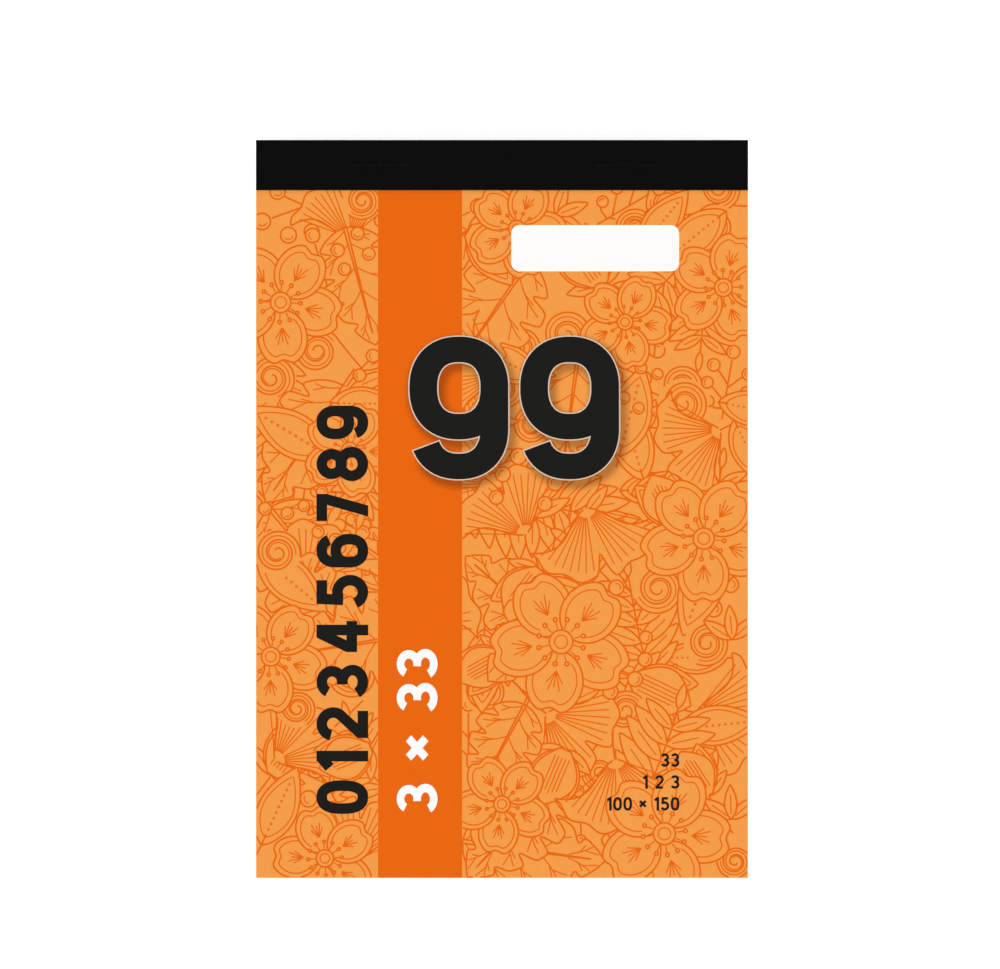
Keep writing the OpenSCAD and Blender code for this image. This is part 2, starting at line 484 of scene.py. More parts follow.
def lengthened(line, by):
    """A line drawn on, or cut back, at both ends, unless it is closed."""
    if is_closed(line):
        return line
    if by < 0:
        run = np.concatenate([[0], np.cumsum(np.abs(np.diff(line)))])
        return line[(run > -by) & (run < run[-1] + by)]
    first, last = line[0] - line[1], line[-1] - line[-2]
    return np.concatenate([[line[0] + by * first / abs(first)], line, [line[-1] + by * last / abs(last)]])


def figures(name, rows, height, weight, top, layer, turn=0, edge=0, wide=1, **layout):
    """Rows of printed figures as one piece, each row with its place in millimetres."""
    builder = bmesh.new()
    for row, at in rows:
        lines = [lengthened(line, edge) for line in number(row, height, weight, wide, **layout)]
        mesh = ink_mesh(name, lines, weight + 2 * edge, wide)
        part = bmesh.new()
        part.from_mesh(mesh)
        for y, way in ((-edge, -1), (height + edge, 1)):
            cut = cut_across(part, y * MM, way, clear_outer=True)["geom_cut"]
            bmesh.ops.holes_fill(part, edges=[item for item in cut if isinstance(item, bmesh.types.BMEdge)])
        bmesh.ops.rotate(part, verts=part.verts, matrix=Matrix.Rotation(math.radians(turn), 3, "Z"))
        bmesh.ops.translate(part, verts=part.verts,
                            vec=(at.real * MM, at.imag * MM, top + layer * INK_LAYER * MM))
        part.to_mesh(mesh)
        part.free()
        builder.from_mesh(mesh)
    return piece_from(name, builder)


# The cover's print, in millimetres from the middle of the book

STRIPE = (-25.2, -8.1)  # left and right edge of the darker stripe
LABEL_LEFT, LABEL_RIGHT = 1.9, 36.0  # blank white label
LABEL_LOW, LABEL_HIGH, LABEL_R = 48.3, 57.7, 1.7
BIG_NUMBER, BIG_AT = "99", -16 + 6.04j  # plain count of the leaves, and the foot of its first centre line
BIG_HEIGHT, BIG_WEIGHT, BIG_WIDE, BIG_GAP = 29, 5.2, 1.085, 0.312
BIG_EDGE = 0.24  # pale edge round the big number
SHADE_OFF = 0.7 - 0.9j  # printed soft shade of the big number: its shift
SHADE_REACH, SHADE_DEPTH = 2.0, 0.5  # how far it fades out, and how dark it is at the figures
SHADE_STEP = 0.45  # spacing of the card's vertices under the shade
SHADE_POINTS = 0.25  # spacing of the points that it is measured from

big_lines = [BIG_AT + resample(line, SHADE_POINTS) for line in
             number(BIG_NUMBER, BIG_HEIGHT, BIG_WEIGHT, BIG_WIDE, gap=BIG_GAP)]


def big_shade(points):
    """How dark the soft shade of the big number is at each point."""
    middle = np.concatenate([lengthened(line, -BIG_WEIGHT / 2) for line in big_lines]) + SHADE_OFF
    middle = middle.real / BIG_WIDE + 1j * middle.imag
    points = points.real / BIG_WIDE + 1j * points.imag
    away = np.array([np.abs(middle - p).min() for p in points]) - BIG_WEIGHT / 2
    share = np.clip(1 - away / SHADE_REACH, 0, 1)
    return share * share * (3 - 2 * share)


def shade_sheet(piece):
    """Stores the shade at each vertex of a printed piece."""
    x, y, _ = places_of(piece.data).T
    points = (x + 1j * y) / MM
    left, right, low, high = extent(np.concatenate(big_lines))
    reach = BIG_WEIGHT + SHADE_REACH + abs(SHADE_OFF)
    near = in_box(points, left - reach, right + reach, low - reach, high + reach)
    values = np.zeros(len(points), np.float32)
    values[near] = big_shade(points[near])
    piece.data.attributes.new("shade", "FLOAT", "POINT").data.foreach_set("value", values)


def rounded_panel(left, right, low, high, radius):
    """Closed outline of a panel with round corners."""
    middles = [(right - radius, high - radius), (left + radius, high - radius),
               (left + radius, low + radius), (right - radius, low + radius)]
    outline = np.concatenate([ellipse(x + 1j * y, radius, radius, 90 * k, 90 * k + 90, points=9)
                              for k, (x, y) in enumerate(middles)])
    return np.append(outline, outline[0])


# Motifs of the cover's line art, in millimetres, each growing from the origin to the right.
# The numbers in them are shares of the motif's size, turns in degrees, and counts of points.


def pointed_oval(length, width):
    """A leaf's outline from its stalk to its tip and back."""
    run = np.linspace(0, 1, 20)
    side = width / 2 * np.sin(math.pi * run ** 0.85) ** 0.85
    return np.concatenate([length * run + 1j * side, (length * run - 1j * side)[::-1]])


def blossom(r):
    """Five round petals with a notch, an inner line and short veins, about a ring of stamens."""
    ring = ellipse(0, 0.16 * r, 0.16 * r)
    parts = [(ring, [ring], [ellipse(0, 0.09 * r, 0.09 * r)])]
    for spin in towards(np.arange(12) * 30):
        head = ellipse(0.31 * r * spin, 0.03 * r, 0.03 * r, points=9)
        parts.append((head, [head], [spin * path(0.18 * r, 0.28 * r)]))
    phi = np.linspace(-math.pi, math.pi, 60)
    petal = 0.56 + 0.44 * np.cos(phi) - 0.1 * np.exp(-(phi / 0.3) ** 2) + 0.385j * np.sin(phi)
    inner = 0.2 + 0.78 * (petal - 0.12)
    for k in range(5):
        spin = r * towards(72 * k)
        veins = [spin * path(0.4, 0.4 + reach * towards(a))
                 for a, reach in ((-34, 0.2), (-17, 0.28), (0, 0.22), (17, 0.28), (34, 0.2))]
        parts.append((spin * petal, [spin * petal], [spin * inner[6:-6]] + veins))
    return parts


def ginkgo(r):
    """A fan with a wavy edge and a cleft, with veins that spread from its stalk."""
    a = np.radians(np.linspace(-68, 68, 70))
    edge = r * (1 + 0.035 * np.sin(13 * a) - 0.34 * np.exp(-(a / 0.075) ** 2)) * np.exp(1j * a)
    low_side = edge[0] * np.linspace(0.04, 1, 14) * np.exp(1j * 0.3 * np.sin(np.linspace(0, math.pi, 14)))
    outline = np.concatenate([low_side, edge, np.conj(low_side)[::-1]])
    veins = []
    for k in range(1, 9):
        vein = r * path(0.14, 0.9 - 0.02 * (k % 2)) * towards(2.4 + 7.2 * k)
        veins += [vein, np.conj(vein)]
    run = np.linspace(0.04, -0.6, 12)
    return [(outline, [outline], veins), (None, [r * (run + 0.3j * run ** 2)], [])]


def fern(length, bend):
    """A bent rib with pairs of small leaves that shorten to the tip."""
    run = np.linspace(0, 1, 40)
    heading = np.exp(1j * math.radians(bend) * run)
    rib = length * np.concatenate([[0], np.cumsum(heading[:-1]) / 39])
    tip = rib[-1] + heading[-1] * pointed_oval(0.16 * length, 0.055 * length)
    beside = 1j * heading * FINE / 2
    strip = np.concatenate([rib + beside, (rib - beside)[::-1]])
    parts = [(tip, [tip], []), (strip, [rib], [])]
    for k in range(8, 0, -1):
        at = int(39 * k / 9)
        size = length * (0.13 + 0.22 * math.sin(math.pi * (1 - k / 9) ** 0.8))
        for side in (1, -1):
            lean = heading[at] * towards(side * 58)
            leaf = rib[at] + lean * pointed_oval(size, 0.34 * size)
            parts.append((leaf, [leaf], [rib[at] + lean * path(0.12 * size, 0.66 * size)]))
    return parts


def lobed_leaf(length):
    """A broad leaf with five round lobes a side, a double rib and a vein to each lobe."""
    run = np.linspace(0, 1, 90)
    waves = 0.5 - 0.5 * np.cos(2 * math.pi * 5 * run)
    notches = 1 - 0.42 * (1 - waves) ** 4 * (run > 0.08)
    side = 0.33 * length * np.sin(math.pi * run ** 0.7) ** 0.8 * notches
    upper = length * run + 1j * side
    outline = np.concatenate([upper, np.conj(upper)[::-1]])
    veins = []
    for k in range(5):
        lobe = (k + 0.5) / 5
        tip = length * lobe + 1j * np.interp(lobe, run, side) * 0.86
        root = length * max(0.02, lobe - 0.16) + 0.012j * length
        bow = (root + tip) / 2 + 0.04 * length
        t = np.linspace(0, 1, 12)
        vein = (1 - t) ** 2 * root + 2 * t * (1 - t) * bow + t ** 2 * tip
        twigs = [path(vein[start], length * (lobe + shift) + 0.68j * np.interp(lobe + shift, run, side))
                 for start, shift in ((4, -0.05), (6, 0.05))]
        veins += [vein, *twigs]
    veins += [np.conj(vein) for vein in veins]
    half_rib = 0.014j * length
    rib = [path(s * half_rib, 0.9 * length) for s in (1, -1)]
    stalk = [path(s * half_rib - 0.14 * length, s * half_rib) for s in (1, -1)]
    return [(outline, [outline] + rib, veins), (None, stalk, [])]


def bud(length):
    """A tulip bud: a front petal over two side petals, with two leaves at its foot."""
    run = np.linspace(0, 1, 24)
    half = 0.27 * length * np.sin(math.pi * (0.1 + 0.9 * run) ** 1.15) ** 0.9
    upper = length * (0.3 + 0.7 * run) + 1j * half
    front = np.concatenate([[0.3 * length], upper, np.conj(upper)[::-1], [0.3 * length]])
    stripes = [length * (path(0.4, 0.86 - 0.03 * abs(k)) + 0.045j * k) for k in (-2, -1, 0, 1, 2)]
    parts = [(front, [front], stripes)]
    for side in (1, -1):
        lean = towards(side * 20)
        wing = length * (0.3 + lean * pointed_oval(0.72, 0.36))
        inner = length * (0.3 + lean * (0.06 + pointed_oval(0.58, 0.26)))
        parts.append((wing, [wing], [inner]))
    for side in (1, -1):
        lean = towards(side * 68)
        foot = length * (0.3 + lean * pointed_oval(0.42, 0.15))
        parts.append((foot, [foot], [length * (0.3 + lean * path(0, 0.3))]))
    return parts + [(None, [path(-0.3 * length, 0.3 * length)], [])]


def curl(r):
    """A shoot that is rolled up at its end, with a fine line along its inner side."""
    t = np.linspace(0, 1, 90)
    spiral = r * (1 - 0.86 * t) * np.exp(1j * (math.radians(-90) + 2.4 * 2 * math.pi * t))
    stalk = path(-1.7 * r - 1.25j * r, -0.8 * r - 1.1j * r, spiral[0])
    return [(ellipse(0, r, r), [spiral], [0.8 * spiral[:70]]), (None, [stalk], [])]


BERRY_PLACES = [(1, 0), (0.72, 0.3), (0.66, -0.32), (0.4, 0.36), (0.34, -0.34), (0.08, 0.28)]


def berries(length):
    """A sprig of round berries on short stalks."""
    parts, stalks = [], [path(-0.2 * length, 0.86 * length)]
    for k, (along, aside) in enumerate(BERRY_PLACES):
        at, r = length * (along + 1j * aside), length * (0.115 - 0.004 * k)
        berry = ellipse(at, r, r, points=24)
        parts.append((berry, [berry], [ellipse(at, 0.55 * r, 0.55 * r, 20, 150, 9)]))
        if aside:
            bow = along - 0.1 + 0.6j * aside
            stalks.append(length * path(max(0, along - 0.3), bow, along + 1j * aside))
    return parts + [(None, stalks, [])]


def round_leaf(length):
    """A plain leaf with an inner line that follows its edge and a dotted rib."""
    outline = pointed_oval(length, 0.46 * length)
    inner = 0.1 * length + 0.78 * outline
    dot_r = 0.014 * length
    dots = [ellipse(length * x, dot_r, dot_r, points=7) for x in np.linspace(0.2, 0.78, 9)]
    bold = [outline, path(0, 0.14 * length)]
    stalk = path(-0.12 * length, 0)
    return [(outline, bold, [inner] + dots), (None, [stalk], [])]


def leaf_sprig(length):
    """Three small leaves that spread from one point, each with one vein."""
    parts = []
    for spread in (0, 52, -52):
        lean = length * towards(spread)
        leaf = lean * pointed_oval(1, 0.36)
        parts.append((leaf, [leaf], [lean * path(0.15, 0.7)]))
    return parts


BLOSSOMS = [  # place and radius, round the printed panels
    (12 - 27j, 15), (41 - 6j, 13.5), (-45 + 42j, 13), (33 - 66j, 14), (-47 - 30j, 12), (3 + 57j, 10.5),
    (45 + 45j, 11.5), (-36 - 71j, 11), (-31 + 12j, 10), (0 - 60j, 10.5), (25 + 38j, 10),
]
SPRIGS = [(46.8 - 26.5j, 95), (46.6 - 63j, 92), (11 + 59.8j, 20)]  # place and turn, in gaps
SPRIG_LENGTH = 7
FILL_SEED, FILL_TRIES = 5, 520  # random places of the other motifs
LEAST_SEEN = 0.3  # how much of a motif has to show
ART_INSET = 0.15  # how far from the card's edges the lines end
ART_UNDER = 0.3  # how far they run under the tape and the label
STRIPE_PAST = 1  # how far the stripe's mask runs past the card


def cover_art():
    """A flower and leaf pattern over the whole cover, behind the stripe and the label."""
    half = HALF_W_MM - ART_INSET
    art = LineArt(-half, half, TAIL_MM + ART_INSET, TAPE_EDGE_MM + ART_UNDER)
    left, right = STRIPE
    foot, top = 1j * (TAIL_MM - STRIPE_PAST), 1j * (HEAD_MM + STRIPE_PAST)
    art.mask(path(left + foot, right + foot, right + top, left + top))
    art.mask(rounded_panel(LABEL_LEFT + ART_UNDER, LABEL_RIGHT - ART_UNDER,
                           LABEL_LOW + ART_UNDER, LABEL_HIGH - ART_UNDER, LABEL_R))
    draw = random.Random(FILL_SEED)
    for at, r in BLOSSOMS:
        art.draw(blossom(r), at, draw.uniform(0, 72))
    for at, turn in SPRIGS:
        art.draw(leaf_sprig(SPRIG_LENGTH), at, turn)
    kinds = [lambda: ginkgo(draw.uniform(12, 16)), lambda: lobed_leaf(draw.uniform(22, 31)),
             lambda: fern(draw.uniform(25, 36), draw.uniform(-60, 60)), lambda: bud(draw.uniform(15, 20)),
             lambda: curl(draw.uniform(3.6, 5.4)), lambda: berries(draw.uniform(11, 15)),
             lambda: round_leaf(draw.uniform(14, 20))]
    left, right, low, high = art.box
    for k in range(FILL_TRIES):
        parts = kinds[k % len(kinds)]()
        at = draw.uniform(left, right) + 1j * draw.uniform(low, high)
        turn = draw.uniform(0, 360)
        shape = next(p[0] for p in parts if p[0] is not None)
        seen = ~art.hidden(at + towards(turn) * shape)
        if seen.mean() > LEAST_SEEN:
            art.draw(parts, at, turn)
    art.draw_stalks()
    return art


def number_shade(finish):
    """How much the big number's shade darkens the print."""
    stored = finish.node("Attribute", attribute_name="shade").outputs["Fac"]
    return finish.math("MULTIPLY", stored, SHADE_DEPTH)


STRIPE_SOFT = 0.04  # half the width over which the stripe's edges change colour, mm
WORN_FULL, WORN_NONE = 0.22, 0.36  # how far in the paler wear at the card's edges is full, and has gone, mm


def cover_finish():
    """Satin card printed in two oranges, with the big number's shade, faint mottle and paler worn edges."""
    finish = Finish("printed_card", roughness=0.45, specular=0.12)
    place = finish.sheet_mm()
    x, y, _ = finish.parts_of(place)
    stripe = finish.math("MULTIPLY", finish.ramp(x, STRIPE[0] - STRIPE_SOFT, STRIPE[0] + STRIPE_SOFT),
                         finish.ramp(x, STRIPE[1] - STRIPE_SOFT, STRIPE[1] + STRIPE_SOFT, 1, 0))
    colour = finish.mix(stripe, GROUND_ORANGE, DEEP_ORANGE)
    cloud = finish.noise(place, scale=0.9, detail=5, roughness=0.6)
    colour = finish.mix(finish.ramp(cloud, 0.3, 0.7, 0, 0.07), colour, MOTTLE_ORANGE)
    colour = finish.mix(number_shade(finish), colour, SHADE_BROWN)
    aside = finish.math("SUBTRACT", HALF_W_MM, finish.math("ABSOLUTE", x))
    below = finish.math("SUBTRACT", y, TAIL_MM)
    edge = finish.math("MINIMUM", aside, below)
    ragged = finish.math("MULTIPLY", finish.noise(place, scale=1.6, detail=3), 0.5)
    worn = finish.ramp(finish.math("ADD", edge, ragged), WORN_FULL, WORN_NONE, 0.5, 0)
    finish.colour(finish.mix(worn, colour, WORN_PALE))
    grain = finish.noise(place, scale=7, detail=3, roughness=0.6)
    finish.rough(finish.ramp(grain, 0.3, 0.7, 0.42, 0.54))
    finish.bump(grain, depth=0.012 * MM, strength=0.5)
    return finish.material


def card_back_finish(name):
    """Uncoated white card with fine fibres."""
    finish = Finish(name, roughness=0.85, specular=0.2)
    fibre = finish.noise(finish.sheet_mm(), scale=5, detail=5, roughness=0.65)
    finish.colour(finish.mix(finish.ramp(fibre, 0.35, 0.65), CARD_FIBRE, CARD_WHITE))
    finish.bump(fibre, depth=0.02 * MM, strength=0.5)
    return finish.material


def line_finish():
    """Deep orange ink of the line art, which darkens under the big number's shade."""
    finish = Finish("line_ink", roughness=0.48, specular=0.12)
    finish.colour(finish.mix(number_shade(finish), DEEP_ORANGE, LINE_BROWN))
    return finish.material


COVER_FOLD = 1.3 * MM  # length of card before the crease with close rows of vertices and close cuts in the print
PRINT_BEND = 0.16 * MM  # spacing of the cuts across the print there
SCORE_DEPTH, SCORE_HALF = 0.05 * MM, 0.3 * MM  # score along the crease


def add_cover_card():
    """The cover from the head to the tail as one card, with a shallow score at its crease."""
    left, right, low, high = extent(np.concatenate(big_lines))
    reach = BIG_WEIGHT / 2 + SHADE_REACH
    near_x = (left - reach) * MM, (right + reach + SHADE_OFF.real) * MM
    near_y = (low - reach + SHADE_OFF.imag) * MM, (high + reach) * MM
    coarse, fine, bend = 2.5 * MM, SHADE_STEP * MM, 0.1 * MM
    across = lines_between([COVER_LOW.x, *near_x, COVER_HIGH.x], [coarse, fine, coarse])
    along = lines_between([TAIL_Y, *near_y, CREASE_Y - COVER_FOLD, CREASE_Y + SCORE_HALF, HEAD_Y],
                          [coarse, fine, coarse, bend, coarse])
    card = grid_sheet("cover_card", across, along, COVER_TOP)
    for vertex in card.data.vertices:
        off = abs(vertex.co.y - CREASE_Y)
        if off < SCORE_HALF:
            vertex.co.z -= SCORE_DEPTH * math.cos(math.pi / 2 * off / SCORE_HALF) ** 2
    map_sheet(card)
    shade_sheet(card)
    coat(card, cover_finish(), card_back_finish("card_inside"), card_back_finish("card_edge"))
    thicken(card, COVER_T, back_slot=1, rim_slot=2)
    fold(card)
    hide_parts("front_cover", "front_cover_stub")


def add_line_art():
    """The pattern's bold and fine lines on the cover, cut across near the crease."""
    material = line_finish()
    art = cover_art()
    for name, width in (("print_outlines", BOLD), ("print_veins", FINE)):
        piece = link(bpy.data.objects.new(name, ink_mesh(name, art.lines[width], width)))
        builder = bmesh.new()
        builder.from_mesh(piece.data)
        bmesh.ops.translate(builder, verts=builder.verts, vec=(0, 0, COVER_TOP))
        for y in steps(CREASE_Y - COVER_FOLD, CREASE_Y, PRINT_BEND):
            cut_across(builder, y)
        for vertex in builder.verts:
            vertex.co.x = min(max(vertex.co.x, COVER_LOW.x), COVER_HIGH.x)
            vertex.co.y = max(vertex.co.y, TAIL_Y)
        builder.to_mesh(piece.data)
        builder.free()
        shade_sheet(piece)
        map_flat(piece, "OFBake", np.array([COVER_LOW.x, TAIL_Y]), HEAD_Y - TAIL_Y)
        coat(piece, material)
        fold(piece)


def printed(piece, material, body):
    """Prints a piece on a body in one ink."""
    coat(piece, material)
    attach(piece, body)


def flat_panel(name, outline, z, layer):
    """A filled flat shape of ink with a little body."""
    builder = bmesh.new()
    verts = [builder.verts.new((p.real * MM, p.imag * MM, z)) for p in outline[:-1]]
    face = builder.faces.new(verts)
    made = bmesh.ops.extrude_face_region(builder, geom=[face])["geom"]
    lifted = [item for item in made if isinstance(item, bmesh.types.BMVert)]
    bmesh.ops.translate(builder, verts=lifted, vec=(0, 0, layer * INK_LAYER * MM))
    put_in_order(builder)
    bmesh.ops.recalc_face_normals(builder, faces=builder.faces)
    return piece_from(name, builder)


# Heights of the print, in layers of ink
LABEL_LAYER, EDGE_LAYER, NUMBER_LAYER, FIGURE_LAYER, LEAF_LAYER = 1.5, 1.5, 3, 1.2, 0.1

ROW, ROW_AT = "0123456789", -27.2 - 60.9j  # bold figures up the left side
ROW_FIGURE, ROW_WEIGHT, ROW_GAP = 10.5, 2.15, 0.44
STRIPE_ROW, STRIPE_AT = "3 × 33", -13.1 - 60.9j  # sets of three, in white up the stripe
STRIPE_FIGURE, STRIPE_WEIGHT, STRIPE_WIDE = 8.3, 1.55, 1.12
SMALL_ROWS = ["33", "1 2 3", "100 × 150"]  # sets, copies of each, and the size in millimetres
SMALL_FIGURE, SMALL_WEIGHT, SMALL_PITCH = 2.75, 0.5, 4.45
SMALL_AT = 35.8 - 52.4j
UPWARDS = 90  # turn of the rows that run up the cover


def add_cover_numbers():
    """The label and the figures on the cover, each in its own ink."""
    black = plain_ink("black_ink", PRINT_BLACK, 0.45)
    white = plain_ink("white_ink", PRINT_WHITE, 0.5)
    cream = plain_ink("cream_ink", EDGE_CREAM)
    outline = rounded_panel(LABEL_LEFT, LABEL_RIGHT, LABEL_LOW, LABEL_HIGH, LABEL_R)
    label = flat_panel("print_label", outline, COVER_TOP, LABEL_LAYER)
    printed(label, white, "front_cover")
    big, big_form = [(BIG_NUMBER, BIG_AT)], {"wide": BIG_WIDE, "gap": BIG_GAP}
    edge_form = {"edge": BIG_EDGE, **big_form}
    small = [(row, SMALL_AT - 1j * SMALL_PITCH * k) for k, row in enumerate(SMALL_ROWS)]
    prints = [
        ("print_number_edge", cream, big, BIG_HEIGHT, BIG_WEIGHT, EDGE_LAYER, edge_form),
        ("print_number", black, big, BIG_HEIGHT, BIG_WEIGHT, NUMBER_LAYER, big_form),
        ("print_figures", black, [(ROW, ROW_AT)], ROW_FIGURE, ROW_WEIGHT, FIGURE_LAYER,
         {"turn": UPWARDS, "gap": ROW_GAP}),
        ("print_sets", white, [(STRIPE_ROW, STRIPE_AT)], STRIPE_FIGURE, STRIPE_WEIGHT, FIGURE_LAYER,
         {"turn": UPWARDS, "wide": STRIPE_WIDE}),
        ("print_counts", black, small, SMALL_FIGURE, SMALL_WEIGHT, FIGURE_LAYER, {"align": "right"}),
    ]
    for name, ink, rows, height, weight, layer, form in prints:
        piece = figures(name, rows, height, weight, COVER_TOP, layer, **form)
        printed(piece, ink, "front_cover")


# Leaves

LEAF_FOLD = 3 * MM  # length of paper before the fold with close rows of vertices
LEAF_STEP, BEND_STEP, STUB_STEP = 12 * MM, 0.2 * MM, 4 * MM  # spacing of a leaf's rows of vertices
LEAST_STEP = 0.05 * MM  # rows that would lie nearer than this are dropped
SLIT_PITCH, SLIT_LENGTH, SLIT_W = 2 * MM, 1.3 * MM, 0.2 * MM  # slits of the perforation
ROUND_OFF = 1e-6  # keeps a whole count of slits from being rounded down
PERF_DROP = 2.5 * MM  # from the lowest fold down to the perforation
RULE_PITCH, RULE_TOP, RULE_LOW = 8, 40, -66  # feint lines on a leaf, mm
RULE_HALF, RULE_SOFT = 0.09, 0.06  # half the width of a line, and how softly it ends, mm
RULE_OVER, RULE_END = 0.4, 0.5  # where the ruling fades, past its first and last line, mm
HEADING_HALF, HEADING_GAP, THIN_HALF = 0.14, 0.8, 0.1  # double line of the heading, and thin lines, mm
MARGIN_X, CASH_X, PENCE_X = -38, 22, 37  # upright lines, mm from the middle
NUMBER_AT = 44 + 46j  # right-hand foot of the set's number, mm from the middle
NUMBER_HEIGHT, NUMBER_WEIGHT = 4.2, 0.62
PAINTED_SHADE_STREAK = (0.02, 0.02, 2.2)  # scale of the painted shade's streaks along the cut edges, per mm
PAINTED_GAP_SHADE, FIBRE_SHADE = 0.55, 0.9  # darker shares of the paper's colour: painted shade between the sheets at the cut edges, and the fibres' own tone

number_ink = plain_ink("red_ink", NUMBER_RED, 0.6)


def darker(colour, share):
    return [share * channel for channel in colour[:3]] + [1]


def ruling(finish, colour, x, y, sheet):
    """Feint lines with a heading, a margin and two cash columns, on the upper side alone of a block."""
    def line(value, at, half):
        away = finish.math("ABSOLUTE", finish.math("SUBTRACT", value, at))
        return finish.ramp(away, half, half + RULE_SOFT, 1, 0)

    step = finish.math("PINGPONG", finish.math("SUBTRACT", y, RULE_TOP), RULE_PITCH / 2)
    within = finish.math("MULTIPLY", finish.ramp(y, RULE_LOW - RULE_END, RULE_LOW - RULE_OVER),
                         finish.ramp(y, RULE_TOP + RULE_OVER, RULE_TOP + RULE_END, 1, 0))
    rules = finish.math("MULTIPLY", finish.ramp(step, RULE_HALF, RULE_HALF + RULE_SOFT, 1, 0), within)
    columns = finish.math("MAXIMUM", line(x, CASH_X, RULE_HALF), line(x, PENCE_X, RULE_HALF))
    rules = finish.math("MAXIMUM", rules, finish.math("MULTIPLY", columns, within))
    heading = finish.math("MAXIMUM", line(y, RULE_TOP, HEADING_HALF),
                          line(y, RULE_TOP + HEADING_GAP, THIN_HALF))
    if not sheet:
        up = finish.parts_of(finish.node("NewGeometry").outputs["Normal"])[2]
        rules, heading, within = [finish.math("MULTIPLY", part, finish.ramp(up, 0.4, 0.6))
                                  for part in (rules, heading, within)]
    margin = finish.math("MULTIPLY", line(x, MARGIN_X, THIN_HALF), within)
    for part, strength, ink in ((rules, 0.75, RULE_BLUE), (heading, 0.8, HEADING_BLUE),
                                (margin, 0.7, MARGIN_RED)):
        colour = finish.mix(finish.math("MULTIPLY", part, strength), colour, ink)
    return colour


def paper_finish(slot, ruled, sheet):
    """Writing paper with fibres, ruled or plain, for a single sheet or a block of leaves."""
    finish = Finish(slot + ("_ruled" if ruled else "_plain") + ("_sheet" if sheet else "_block"), 0.8, 0.2)
    place = finish.sheet_mm() if sheet else finish.object_mm()
    x, y, _ = finish.parts_of(place)
    fibre = finish.noise(place, scale=4, detail=6, roughness=0.7)
    paper = PAPER_COLOURS[slot]
    colour = finish.mix(finish.ramp(fibre, 0.3, 0.7), darker(paper, FIBRE_SHADE), paper)
    if ruled:
        colour = ruling(finish, colour, x, y, sheet)
    elif not sheet:
        # painted shade: darker streaks through the block's cut edges stand in for shade between the sheets
        layers = finish.node("Mapping", {"Vector": place, "Scale": PAINTED_SHADE_STREAK}).outputs[0]
        painted_gap_shade = finish.noise(layers, scale=1, detail=3, roughness=0.65)
        colour = finish.mix(finish.ramp(painted_gap_shade, 0.3, 0.7, 0.7, 0.1), colour, darker(paper, PAINTED_GAP_SHADE))
    finish.colour(colour)
    finish.bump(fibre, depth=0.012 * MM, strength=0.4)
    return finish.material


def slits(low_x, high_x):
    """Left and right end of each slit of the perforation, as in the leaves' own solids."""
    count = math.floor((high_x - low_x - SLIT_PITCH) / SLIT_PITCH + ROUND_OFF)
    middles = [(i - (count - 1) / 2) * SLIT_PITCH for i in range(count)]
    return [(m - SLIT_LENGTH / 2, m + SLIT_LENGTH / 2) for m in middles]


def add_leaf(name, slot, set_number, perforated):
    """A leaf with its stub as one sheet, with close rows of vertices at its fold, and the number of its
    set.
    """
    low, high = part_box(name + "_leaf")
    stub_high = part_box(name + "_stub")[1]
    fold_y = JOINTS[name + "_turn"]["pos_m"][1]
    perf_y = JOINTS["second_triplicate_turn"]["pos_m"][1] - PERF_DROP
    perf_low, perf_high = perf_y - SLIT_W / 2, perf_y + SLIT_W / 2
    cuts = slits(low.x, high.x) if perforated else []
    across = sorted([low.x, high.x] + [x for pair in cuts for x in pair])
    bottom_rows = lines_between([low.y, perf_low], [LEAF_STEP])
    top_rows = lines_between([fold_y - LEAF_FOLD, fold_y + BEND_STEP, stub_high.y], [BEND_STEP, STUB_STEP])
    if top_rows[0] < perf_high:
        top_rows = [y for y in top_rows if y > perf_high + LEAST_STEP]
    leaf = grid_sheet(name + "_sheet", across, bottom_rows + [perf_high] + top_rows, high.z)
    if perforated:
        builder = bmesh.new()
        builder.from_mesh(leaf.data)
        holes = []
        for face in builder.faces:
            middle = face.calc_center_median()
            if abs(middle.y - perf_y) < SLIT_W / 2 and any(a < middle.x < b for a, b in cuts):
                holes.append(face)
        bmesh.ops.delete(builder, geom=holes, context="FACES")
        builder.to_mesh(leaf.data)
        builder.free()
    map_sheet(leaf)
    coat(leaf, paper_finish(slot, ruled=True, sheet=True), paper_finish(slot, ruled=False, sheet=True))
    thicken(leaf, high.z - low.z, back_slot=1, rim_slot=1)
    fold(leaf)
    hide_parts(name + "_leaf", name + "_stub")
    rows = [(f"{set_number:04d}", NUMBER_AT)]
    count = figures(name + "_number", rows, NUMBER_HEIGHT, NUMBER_WEIGHT, high.z, LEAF_LAYER, align="right")
    printed(count, number_ink, name + "_leaf")


# The rest of the book

SHEET_GAP = 0.004 * MM  # air between buried leaves
SHEET_UNEVEN = 0.06 * MM  # how far their edges fall short at most


def sheets(name, boxes):
    """Thin leaves with slightly uneven edges as one piece."""
    uneven = random.Random(name)
    builder = bmesh.new()
    for low, high in boxes:
        left, tail, right = [uneven.uniform(0, SHEET_UNEVEN) for _ in range(3)]
        low = [low[0] + left, low[1] + tail, low[2] + SHEET_GAP / 2]
        high = [high[0] - right, high[1], high[2] - SHEET_GAP / 2]
        made = bmesh.ops.create_cube(builder, size=1)["verts"]
        bmesh.ops.scale(builder, verts=made, vec=[b - a for a, b in zip(low, high)])
        bmesh.ops.translate(builder, verts=made, vec=[(a + b) / 2 for a, b in zip(low, high)])
    return piece_from(name, builder)


